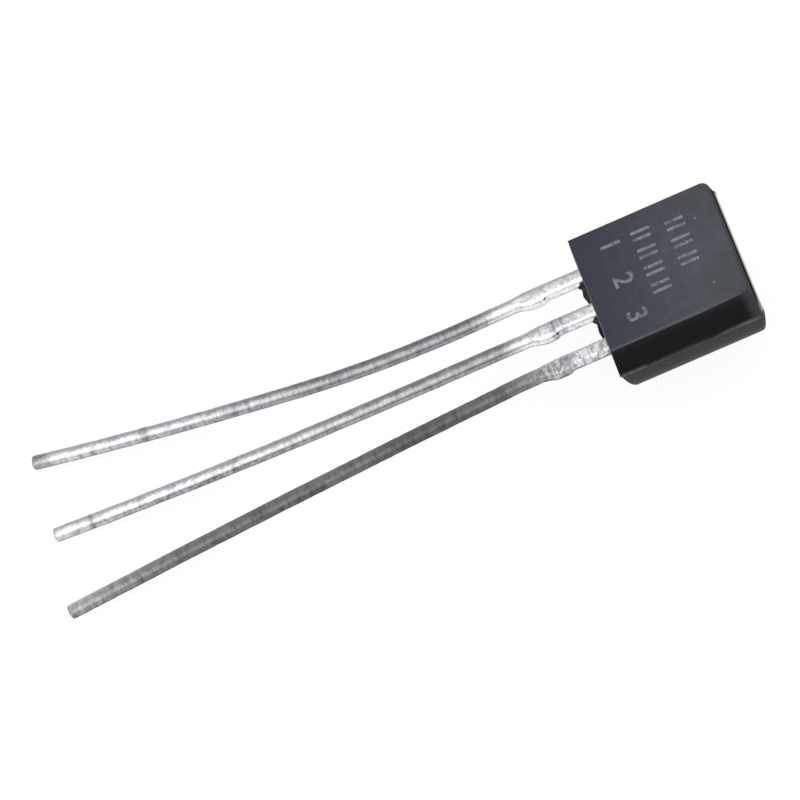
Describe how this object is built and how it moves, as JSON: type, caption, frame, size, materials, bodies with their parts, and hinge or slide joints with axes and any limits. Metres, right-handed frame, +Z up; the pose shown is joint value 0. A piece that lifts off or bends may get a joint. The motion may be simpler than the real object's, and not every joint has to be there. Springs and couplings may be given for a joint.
{
  "type": "power transistor",
  "caption": "Transistor in a small moulded case with a flat front and a round back, with long tinned leads in line for soldering into a circuit board.",
  "frame": {"origin": "on the surface that it lies on, under the middle of its overall box", "axes": "+X across the leads towards pin 3, +Y from the lead tips to the top of the case, +Z up, out of the flat front to within 8 degrees"},
  "size_m": [0.0056, 0.0224, 0.0043],
  "materials": {
    "black_epoxy": "fine matt moulded epoxy, dark slate grey to black",
    "tinned_lead": "bright tin plating with draw marks and small creases",
    "silicon": "polished silicon",
    "solder": "dull solder",
    "bond_wire": "bright gold wire"
  },
  "bodies": {
    "root": {"moulded_case": "black_epoxy", "emitter_lead": "tinned_lead", "collector_lead": "tinned_lead", "base_lead": "tinned_lead", "transistor_die": "silicon", "die_attach": "solder", "emitter_bond_wire": "bond_wire", "base_bond_wire": "bond_wire"}
  },
  "joints": []
}
